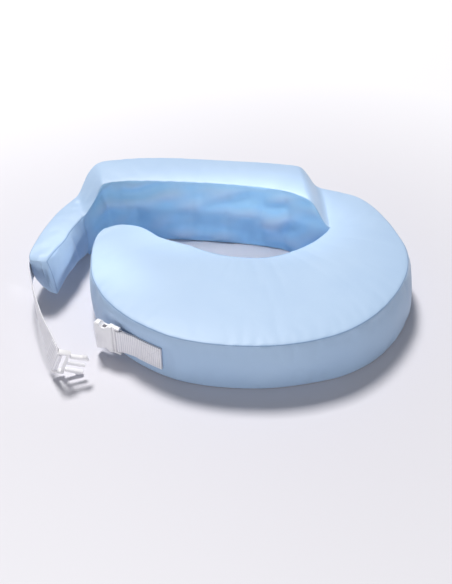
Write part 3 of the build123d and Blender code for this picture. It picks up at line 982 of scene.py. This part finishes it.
def wall_line(low_row, high_row, offset):
    """Places along the cover's outer wall between two section rows."""
    rows = np.linspace(low_row, high_row, 8)
    return at_rows(rows, cover.outer) + unit(at_rows(rows, cover.outer_out)) * offset


def row_near(place, low, high):
    """The section row whose outer edge is nearest to a place."""
    rows = np.linspace(low, high, 400)
    gap = at_rows(rows, cover.outer) - place
    return rows[np.argmin(np.hypot(gap[:, 0], gap[:, 1]))]


FEMALE_BAR = np.array([-129.0, -171.5])
SEWN_Z = 34.0
FRONT_ROWS, ARM_ROWS = (6, 11), (38, 45)
sewn_row = row_near((-63, -205), *FRONT_ROWS)
lift_row = row_near((-104.8, -182.1), *FRONT_ROWS)
inner_layer = wall_line(sewn_row, lift_row, WALL_GAP)
outer_layer = wall_line(lift_row, sewn_row, WALL_GAP + LAYER)
off_wall = unit(FEMALE_BAR - inner_layer[-1])
across_bar = np.array([-off_wall[1], off_wall[0]])
across_bar *= np.sign(across_bar @ (inner_layer[-1] - outer_layer[0]))
tab = [*inner_layer]
tab += [FEMALE_BAR - off_wall * 9 + across_bar * 1.2, FEMALE_BAR - off_wall * 4 + across_bar * 2.4]
tab += loop_round(FEMALE_BAR, off_wall, across_bar)
tab += [FEMALE_BAR - off_wall * 4 - across_bar * 2.4, FEMALE_BAR - off_wall * 9 - across_bar * 1.2]
tab += [*outer_layer]
tab_places = [(x, y, SEWN_Z) for x, y in tab]
tab_shape = webbing_piece("short_webbing_tab", "shelf", "short_webbing", tab_places, [UP] * len(tab))
tab_length = tab_shape[3][-1]
wall_out = cover.outer_out[np.argmin(abs(cover.rows - sewn_row))]
tab_side = 1 if tab_shape[2][-3][:2] @ wall_out > 0 else -1
tab_box = box_stitch(tab_length - STITCH_INSET, tab_length - 34, STITCH_HALF)
stitches("short_webbing_stitches", "shelf", tab_box, on_band(tab_shape, tab_side))

ANCHOR_Z = 50.0
anchor_rows = row_near((-292.2, -5), *ARM_ROWS), row_near((-292.4, -47), *ARM_ROWS)
anchor_places = [(x, y, ANCHOR_Z) for x, y in wall_line(*anchor_rows, WALL_GAP)]
anchor_shape = webbing_piece(
    "strap_anchor_webbing", "arm", "strap_anchor", anchor_places, [UP] * len(anchor_places)
)
anchor_side = 1 if anchor_shape[2][3][0] < 0 else -1
anchor_box = box_stitch(STITCH_INSET, anchor_shape[3][-1] - 5, STITCH_HALF)
stitches("strap_anchor_stitches", "arm", anchor_box, on_band(anchor_shape, anchor_side))

# ---------- Buckles and zip ----------


def softened(node_name, body, material, radius, extra=None):
    """A copy of a CAD node on the same body, with rounded edges, and with one more block if given."""
    form = bmesh.new()
    form.from_mesh(nodes[node_name].data)
    bmesh.ops.remove_doubles(form, verts=form.verts, dist=1e-6)
    if extra is not None:
        size, place = extra
        bmesh.ops.create_cube(form, size=1.0, matrix=place @ Matrix.Diagonal((*size, 1.0)))
    bmesh.ops.dissolve_limit(form, angle_limit=math.radians(2), verts=form.verts, edges=form.edges)
    mesh = bpy.data.meshes.new(node_name + "_moulded")
    form.to_mesh(mesh)
    form.free()
    obj = add_object(node_name + "_moulded", mesh)
    obj.matrix_world = nodes[node_name].matrix_world.copy()
    bevel = obj.modifiers.new("bevel", "BEVEL")
    bevel.width = radius
    bevel.segments = 2
    bevel.limit_method = "ANGLE"
    bevel.angle_limit = math.radians(38)
    bevel.use_clamp_overlap = True
    final = evaluated(obj)
    obj.modifiers.clear()
    obj.data = final
    final.transform(obj.matrix_world)
    obj.matrix_world.identity()
    final.polygons.foreach_set("use_smooth", np.ones(len(final.polygons), bool))
    final.set_sharp_from_angle(angle=math.radians(35))
    final.materials.clear()
    final.materials.append(material)
    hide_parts(node_name)
    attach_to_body(obj, body)
    return obj


# The female buckle's end wall, between its hollow body and its webbing
MOUTH_WAY = Vector((-0.93, 0.366, 0.0)).normalized()
END_WALL = (4.4 * MM, 4.5 * MM, 41.2 * MM)
END_WALL_GAP = 6.8 * MM


def end_wall():
    """The end wall's size and place, square to the way that the buckle's mouth faces."""
    up = Vector(UP)
    turned = Matrix((MOUTH_WAY, up.cross(MOUTH_WAY), up)).transposed().to_4x4()
    middle = plan_point(*FEMALE_BAR, SEWN_Z) + MOUTH_WAY * END_WALL_GAP
    return END_WALL, Matrix.Translation(middle) @ turned


PLASTIC_PARTS = {
    "female_buckle": "female_buckle",
    "male_buckle_frame": "male_buckle",
    "latch_arm_upper": "latch_upper",
    "latch_arm_lower": "latch_lower",
}
for node_name, body in PLASTIC_PARTS.items():
    block = end_wall() if node_name == "female_buckle" else None
    softened(node_name, body, PLASTIC, 0.6 * MM, block)
for node_name in ("zip_slider", "zip_pull"):
    softened(node_name, node_name, METAL, 0.25 * MM)

COIL_PITCH = 1.3
COIL_INSET = 2.0
COIL_SECTION = np.array([(math.cos(a) * 0.42, math.sin(a) * 0.72) for a in np.arange(8) * math.pi / 4])
# A tooth's rings: how far each is from the zip's middle line, and its scale
TOOTH = ((2.2, 0.75), (1.9, 1.0), (0.5, 1.0), (0.1, 1.15), (-0.15, 0.7))
ZIP_Y = 214.5 - 0.75


def coil_piece(name, side):
    """A row of zip teeth from one tape's edge to just past the middle."""
    verts, faces = [], []
    for i in range(int((ZIP_END - ZIP_START - 2 * COIL_INSET) / COIL_PITCH)):
        middle_x = ZIP_START + COIL_INSET + (i + (0.5 if side > 0 else 0.0)) * COIL_PITCH
        first = len(verts)
        for reach, scale in TOOTH:
            for dx, dy in COIL_SECTION * scale:
                verts.append((middle_x + dx, ZIP_Y + dy, ZIP_HEIGHT + side * reach))
        for j in range(4):
            for k in range(8):
                a, b = first + j * 8 + k, first + j * 8 + (k + 1) % 8
                face = (a, b, b + 8, a + 8)
                faces.append(face if side < 0 else face[::-1])
        caps = [tuple(range(first, first + 8))[::-1], tuple(range(first + 32, first + 40))]
        faces += caps if side < 0 else [cap[::-1] for cap in caps]
    obj = mesh_object(name + "_teeth", to_metres(verts), faces)
    obj.data.materials.append(COIL)
    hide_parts(name)
    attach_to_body(obj, "backrest")


coil_piece("zip_coil_upper", 1)
coil_piece("zip_coil_lower", -1)

for name, node in nodes.items():
    material = TAPE if "tape" in name else METAL
    node.data.materials.clear()
    node.data.materials.append(material)

# ---------- Floor, light and camera ----------


FLOOR_HALF, FLOOR_Z = 6.0, -0.0005


def floor():
    corners = [(x * FLOOR_HALF, y * FLOOR_HALF, 0) for x, y in ((-1, -1), (1, -1), (1, 1), (-1, 1))]
    piece = mesh_object("floor", corners, [(0, 1, 2, 3)])
    piece.location.z = FLOOR_Z
    n = Nodes("floor")
    where = n.add("ShaderNodeTexCoord").outputs["Object"]
    distance = n.add("ShaderNodeVectorMath", {0: where}, operation="LENGTH").outputs["Value"]
    # Painted shade: the floor is darker near its middle, round the pillow, and lighter further out.
    colour = n.mix(n.ramp(distance, 0.25, 0.9), srgb(214, 213, 221), srgb(238, 238, 243))
    n.set(Base_Color=colour, Roughness=0.6)
    piece.data.materials.append(n.material)


def area_light(name, place, target, size, power, colour=(1.0, 1.0, 1.0), spread=180):
    data = bpy.data.lights.new(name, "AREA")
    data.shape = "RECTANGLE"
    data.size, data.size_y = size
    data.energy = power
    data.color = colour
    data.spread = math.radians(spread)
    lamp = add_object(name, data)
    lamp.location = place
    lamp.rotation_euler = (Vector(target) - Vector(place)).to_track_quat("-Z", "Y").to_euler()


def world():
    shade = bpy.data.worlds.new("studio")
    shade.use_nodes = True
    background = shade.node_tree.nodes["Background"]
    background.inputs["Color"].default_value = (0.93, 0.95, 1.0, 1.0)
    background.inputs["Strength"].default_value = 0.19
    bpy.context.scene.world = shade


CAMERA_PLACE = (0.1112, -0.9944, 0.7944)
CAMERA_TURN, CAMERA_TILT = 6.0, 37.0
CAMERA_SHIFT = (0.001712, -0.034247)


def camera():
    data = bpy.data.cameras.new("camera")
    data.sensor_width = 36.0
    data.lens = 49.3
    data.shift_x, data.shift_y = CAMERA_SHIFT
    data.clip_start, data.clip_end = 0.05, 50
    view = add_object("camera", data)
    turn, tilt = math.radians(CAMERA_TURN), math.radians(CAMERA_TILT)
    look = Vector((-math.sin(turn) * math.cos(tilt), math.cos(turn) * math.cos(tilt), -math.sin(tilt)))
    view.location = CAMERA_PLACE
    view.rotation_euler = look.to_track_quat("-Z", "Y").to_euler()
    bpy.context.scene.camera = view


floor()
world()
area_light("key", (-1.3, 2.9, 5.8), (0, 0, 0), (1.4, 1.4), 450, (1.0, 0.98, 0.96))
area_light("fill", (-1.0, -3.2, 0.55), (0, 0, 0.08), (3.0, 0.6), 33)
area_light("side", (2.7, -1.0, 1.0), (-0.2, 0, 0.05), (1.6, 0.8), 8)
area_light("inside", (0.02, -0.01, 0.62), (0.01, 0.1, 0.0), (0.26, 0.04), 0.07, spread=24)
area_light("on_arm", (0.20, -0.32, 0.33), (-0.25, -0.005, 0.05), (0.05, 0.05), 0.015, spread=14)
camera()
bpy.context.scene.view_settings.view_transform = "Standard"
